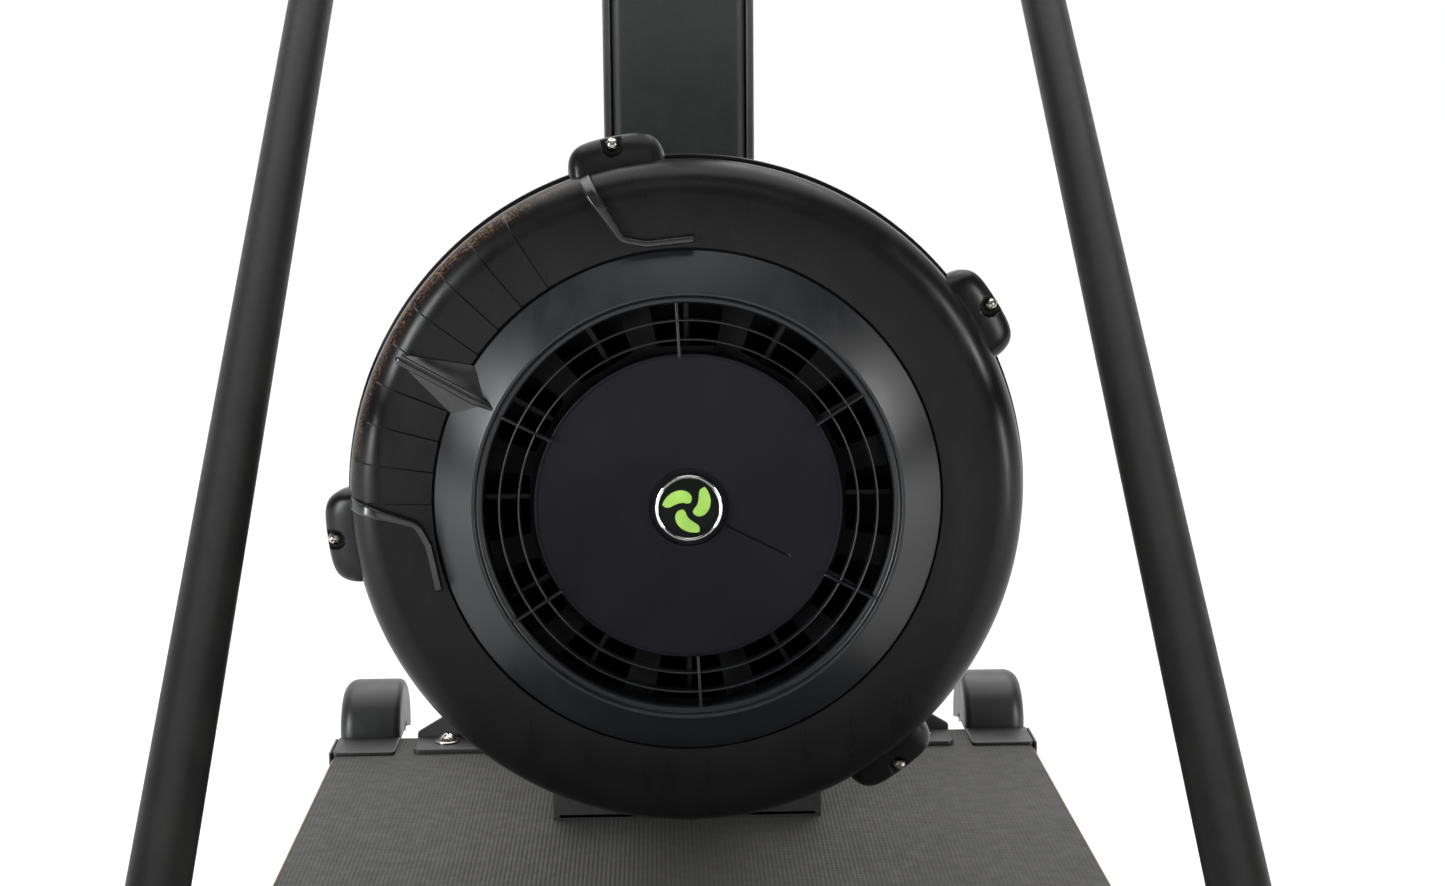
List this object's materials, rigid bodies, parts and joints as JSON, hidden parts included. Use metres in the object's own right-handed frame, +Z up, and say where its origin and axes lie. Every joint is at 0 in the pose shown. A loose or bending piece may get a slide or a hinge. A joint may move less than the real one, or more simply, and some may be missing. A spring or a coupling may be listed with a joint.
{
  "type": "ski pull trainer",
  "caption": "Standing pull trainer: tall column on a ribbed platform, air flywheel with turning damper ring, hoop brace, pulley head, hanging handles and monitor.",
  "frame": {"origin": "middle of the bounding box on the floor plane, under the platform feet", "axes": "+Z up the column, -Y towards the user, +X across to the right seen from the user"},
  "size_m": [0.602, 1.27, 2.16],
  "materials": {
    "plywood": "clear-coated cut edge",
    "mat": "fine ribbed",
    "rubber_feet": "matt",
    "tube_black": "satin powder coat",
    "plate_black": "fine textured powder coat",
    "bolt_steel": "zinc plated",
    "caster_plastic": "moulded",
    "tyre": "matt",
    "column_metal": "satin powder coat",
    "cover_plastic": "satin moulded",
    "shell_plastic": "satin moulded",
    "damper_plastic": "satin moulded",
    "vent_plastic": "matt",
    "chrome": "polished",
    "badge": "glossy dome",
    "fan_metal": "cast",
    "steel": "ground",
    "drum_plastic": "moulded",
    "cord": "braided",
    "strap": "woven webbing",
    "grip": "moulded grip",
    "monitor_plastic": "fine texture",
    "screen": "display window",
    "key": "moulded"
  },
  "bodies": {
    "frame": {"platform_board": "plywood", "platform_mat": "mat", "platform_feet": "rubber_feet", "hoop_brace": "tube_black", "hoop_foot_plates": "plate_black", "stand_bolts": "bolt_steel", "hoop_clamp": "plate_black", "clamp_bolts": "bolt_steel", "rear_gusset": "plate_black", "column_shoe": "plate_black", "caster_bracket_left": "caster_plastic", "caster_bracket_right": "caster_plastic", "caster_axles": "steel", "column_channel": "column_metal", "column_cover": "cover_plastic", "drive_bracket": "plate_black", "drive_cover": "cover_plastic", "rear_housing": "shell_plastic", "front_cover": "shell_plastic", "cover_screws": "bolt_steel", "vent_plate": "vent_plastic", "bearing_front": "steel", "bearing_rear": "steel", "drive_cord_left": "cord", "drive_cord_right": "cord", "return_cord": "cord", "return_pulley": "drum_plastic", "head_lower_shell": "cover_plastic", "head_upper_shell": "cover_plastic", "pulley_axles": "steel", "monitor_arm": "cover_plastic", "monitor_pin": "steel"},
    "flywheel": {"flywheel_fan": "fan_metal", "flywheel_hub": "steel", "flywheel_axle": "steel"},
    "damper": {"damper_ring": "damper_plastic", "badge_rim": "chrome", "badge_face": "badge"},
    "handle_left": {"handle_grip_left": "grip", "handle_strap_left": "strap", "handle_cord_left": "cord"},
    "handle_right": {"handle_grip_right": "grip", "handle_strap_right": "strap", "handle_cord_right": "cord"},
    "drum_left": {"cord_drum_left": "drum_plastic"},
    "drum_right": {"cord_drum_right": "drum_plastic"},
    "inner_wheel_left": {"inner_pulley_left": "drum_plastic"},
    "inner_wheel_right": {"inner_pulley_right": "drum_plastic"},
    "outer_wheel_left": {"outer_pulley_left": "drum_plastic"},
    "outer_wheel_right": {"outer_pulley_right": "drum_plastic"},
    "caster_left": {"caster_wheel_left": "tyre"},
    "caster_right": {"caster_wheel_right": "tyre"},
    "monitor": {"monitor_case": "monitor_plastic", "monitor_bezel": "monitor_plastic", "monitor_screen": "screen"},
    "key_1": {"monitor_key_1": "key"},
    "key_2": {"monitor_key_2": "key"},
    "key_3": {"monitor_key_3": "key"},
    "key_4": {"monitor_key_4": "key"},
    "key_5": {"monitor_key_5": "key"}
  },
  "joints": [
    {"name": "flywheel_spin", "type": "hinge", "parent": "frame", "child": "flywheel", "pos_m": [0, 0.12, 0.331], "axis": [0, -1, 0], "continuous": true},
    {"name": "damper_turn", "type": "hinge", "parent": "frame", "child": "damper", "pos_m": [0, 0.12, 0.331], "axis": [0, -1, 0], "range_deg": [-41, 25]},
    {"name": "handle_pull_left", "type": "slide", "parent": "frame", "child": "handle_left", "axis": [0, 0, -1], "range_m": [0, 1.2], "stiffness_N_per_m": 12, "springref_m": -1.5, "deforming": ["handle_cord_left"]},
    {"name": "drum_turn_left", "type": "hinge", "parent": "frame", "child": "drum_left", "pos_m": [0, 0.491, 0.331], "axis": [0, 1, 0], "range_deg": [-1, 2460]},
    {"name": "inner_wheel_turn_left", "type": "hinge", "parent": "frame", "child": "inner_wheel_left", "pos_m": [-0.04807, 0.46871, 2.096], "axis": [0.7431, -0.6692, 0], "range_deg": [-1, 2296]},
    {"name": "outer_wheel_turn_left", "type": "hinge", "parent": "frame", "child": "outer_wheel_left", "pos_m": [-0.17993, 0.32229, 2.096], "axis": [0.7431, -0.6692, 0], "range_deg": [-1, 2296]},
    {"name": "caster_spin_left", "type": "hinge", "parent": "frame", "child": "caster_left", "pos_m": [-0.272, 0.593, 0.033], "axis": [1, 0, 0], "continuous": true},
    {"name": "handle_pull_right", "type": "slide", "parent": "frame", "child": "handle_right", "axis": [0, 0, -1], "range_m": [0, 1.2], "stiffness_N_per_m": 12, "springref_m": -1.5, "deforming": ["handle_cord_right"]},
    {"name": "drum_turn_right", "type": "hinge", "parent": "frame", "child": "drum_right", "pos_m": [0, 0.509, 0.331], "axis": [0, -1, 0], "range_deg": [-1, 2460]},
    {"name": "inner_wheel_turn_right", "type": "hinge", "parent": "frame", "child": "inner_wheel_right", "pos_m": [0.04706, 0.48584, 2.096], "axis": [0.7721, 0.6354, 0], "range_deg": [-1, 2296]},
    {"name": "outer_wheel_turn_right", "type": "hinge", "parent": "frame", "child": "outer_wheel_right", "pos_m": [0.18094, 0.32316, 2.096], "axis": [0.7721, 0.6354, 0], "range_deg": [-1, 2296]},
    {"name": "caster_spin_right", "type": "hinge", "parent": "frame", "child": "caster_right", "pos_m": [0.272, 0.593, 0.033], "axis": [1, 0, 0], "continuous": true},
    {"name": "monitor_tilt", "type": "hinge", "parent": "frame", "child": "monitor", "pos_m": [0, 0.366, 1.56], "axis": [1, 0, 0], "range_deg": [-20, 20]},
    {"name": "key_press_1", "type": "slide", "parent": "monitor", "child": "key_1", "axis": [0, 1, 0], "range_m": [0, 0.0015], "stiffness_N_per_m": 500, "springref_m": -0.001},
    {"name": "key_press_2", "type": "slide", "parent": "monitor", "child": "key_2", "axis": [0, 1, 0], "range_m": [0, 0.0015], "stiffness_N_per_m": 500, "springref_m": -0.001},
    {"name": "key_press_3", "type": "slide", "parent": "monitor", "child": "key_3", "axis": [0, 1, 0], "range_m": [0, 0.0015], "stiffness_N_per_m": 500, "springref_m": -0.001},
    {"name": "key_press_4", "type": "slide", "parent": "monitor", "child": "key_4", "axis": [0, 1, 0], "range_m": [0, 0.0015], "stiffness_N_per_m": 500, "springref_m": -0.001},
    {"name": "key_press_5", "type": "slide", "parent": "monitor", "child": "key_5", "axis": [0, 1, 0], "range_m": [0, 0.0015], "stiffness_N_per_m": 500, "springref_m": -0.001}
  ],
  "couplings": [
    {"joint": "drum_turn_left", "follows": "handle_pull_left", "rad_per_m": 35.714},
    {"joint": "inner_wheel_turn_left", "follows": "handle_pull_left", "rad_per_m": 33.333},
    {"joint": "outer_wheel_turn_left", "follows": "handle_pull_left", "rad_per_m": 33.333},
    {"joint": "drum_turn_right", "follows": "handle_pull_right", "rad_per_m": 35.714},
    {"joint": "inner_wheel_turn_right", "follows": "handle_pull_right", "rad_per_m": 33.333},
    {"joint": "outer_wheel_turn_right", "follows": "handle_pull_right", "rad_per_m": 33.333}
  ]
}
